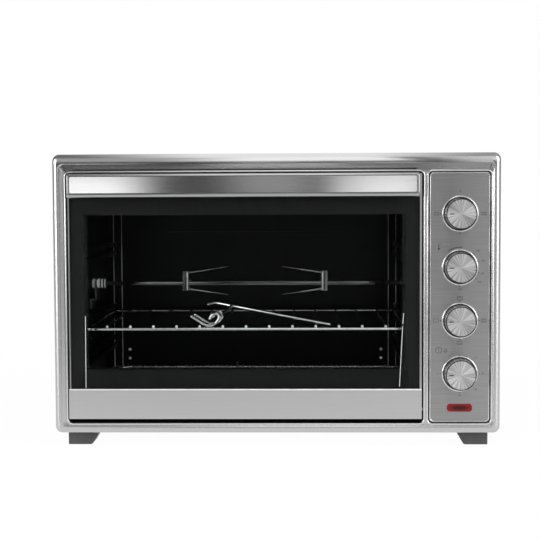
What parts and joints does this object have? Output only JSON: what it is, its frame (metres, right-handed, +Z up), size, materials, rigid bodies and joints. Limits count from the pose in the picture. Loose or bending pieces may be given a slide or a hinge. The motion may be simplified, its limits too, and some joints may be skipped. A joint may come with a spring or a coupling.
{
  "type": "electric countertop oven",
  "caption": "Free-standing electric oven with a drop-down glass door, full-width bar handle, turning control knobs, pilot lamp, wire rack and rotisserie spit in a dark cavity.",
  "frame": {"origin": "on the worktop under the middle of the whole object", "axes": "+Z up, the door and controls face -Y, the control panel is on the +X side"},
  "size_m": [0.59, 0.423, 0.39],
  "materials": {
    "brushed_frame": "brushed, horizontal grain",
    "brushed_panel": "brushed, horizontal grain",
    "cover_steel": "silver satin",
    "base_steel": "bare zinc coated sheet",
    "black_enamel": "black enamel, gloss",
    "door_black": "black, satin",
    "window_glass": "clear, slightly grey",
    "satin_trim": "satin",
    "handle_silver": "silver paint",
    "brushed_plate": "brushed, horizontal grain",
    "element_grey": "oxidised grey",
    "chrome_wire": "bright chrome",
    "bright_zinc": "zinc plated",
    "ceramic_white": "ceramic white, matt",
    "motor_brass": "passivated",
    "knob_metal": "turned, radial grain",
    "bezel_chrome": "bright",
    "shaft_brass": "turned",
    "switch_plastic": "moulded",
    "lens_red": "translucent red",
    "foot_plastic": "dark grey, fine texture",
    "gland_plastic": "black"
  },
  "bodies": {
    "housing": {"front_frame": "brushed_frame", "outer_cover": "cover_steel", "base_plate": "base_steel", "back_panel": "cover_steel", "control_panel": "brushed_panel", "front_flange": "black_enamel", "cavity_left_wall": "black_enamel", "cavity_right_wall": "black_enamel", "cavity_back_wall": "black_enamel", "cavity_ceiling": "black_enamel", "cavity_floor": "black_enamel", "heat_shield": "base_steel", "upper_element": "element_grey", "lower_element": "element_grey", "element_clips": "base_steel", "element_bushes": "ceramic_white", "spit_motor": "motor_brass", "spit_support": "bright_zinc", "hinge_brackets": "base_steel", "function_switch": "switch_plastic", "thermostat": "switch_plastic", "element_switch": "switch_plastic", "timer": "switch_plastic", "knob_bezels": "bezel_chrome", "lamp_lens": "lens_red", "lamp_holder": "ceramic_white", "foot_front_left": "foot_plastic", "foot_front_right": "foot_plastic", "foot_back_left": "foot_plastic", "foot_back_right": "foot_plastic", "foot_screws": "bright_zinc", "cover_screws": "bright_zinc", "cable_gland": "gland_plastic", "terminal_block": "ceramic_white"},
    "door": {"door_frame": "door_black", "door_inner_panel": "black_enamel", "door_glass": "window_glass", "door_trim": "satin_trim", "rack_hooks": "chrome_wire", "handle_bar": "handle_silver", "handle_plate": "brushed_plate", "handle_posts": "handle_silver", "handle_screws": "bright_zinc", "hinge_pins": "bright_zinc"},
    "spit": {"drive_socket": "chrome_wire", "spit_rod": "chrome_wire", "spit_collar": "chrome_wire", "fork_left": "chrome_wire", "fork_right": "chrome_wire", "fork_screws": "bright_zinc"},
    "rack": {"wire_rack": "chrome_wire", "lifting_tool": "chrome_wire"},
    "function_dial": {"function_knob": "knob_metal", "function_shaft": "shaft_brass"},
    "temperature_dial": {"temperature_knob": "knob_metal", "temperature_shaft": "shaft_brass"},
    "element_dial": {"element_knob": "knob_metal", "element_shaft": "shaft_brass"},
    "timer_dial": {"timer_knob": "knob_metal", "timer_shaft": "shaft_brass"}
  },
  "joints": [
    {"name": "door_hinge", "type": "hinge", "parent": "housing", "child": "door", "pos_m": [0, -0.173, 0.051], "axis": [1, 0, 0], "range_deg": [0, 90]},
    {"name": "rack_slide", "type": "slide", "parent": "housing", "child": "rack", "axis": [0, -1, 0], "range_m": [0, 0.1744]},
    {"name": "spit_spin", "type": "hinge", "parent": "housing", "child": "spit", "pos_m": [0, 0.00725, 0.2065], "axis": [1, 0, 0], "continuous": true},
    {"name": "function_turn", "type": "hinge", "parent": "housing", "child": "function_dial", "pos_m": [0.2417, -0.1775, 0.3099], "axis": [0, 1, 0], "range_deg": [0, 270]},
    {"name": "temperature_turn", "type": "hinge", "parent": "housing", "child": "temperature_dial", "pos_m": [0.2417, -0.1775, 0.2396], "axis": [0, 1, 0], "range_deg": [0, 270]},
    {"name": "element_turn", "type": "hinge", "parent": "housing", "child": "element_dial", "pos_m": [0.2417, -0.1775, 0.1693], "axis": [0, 1, 0], "range_deg": [0, 270]},
    {"name": "timer_turn", "type": "hinge", "parent": "housing", "child": "timer_dial", "pos_m": [0.2417, -0.1775, 0.099], "axis": [0, 1, 0], "range_deg": [0, 300]}
  ],
  "couplings": [
    {"joint": "rack_slide", "follows": "door_hinge", "m_per_rad": 0.111}
  ]
}
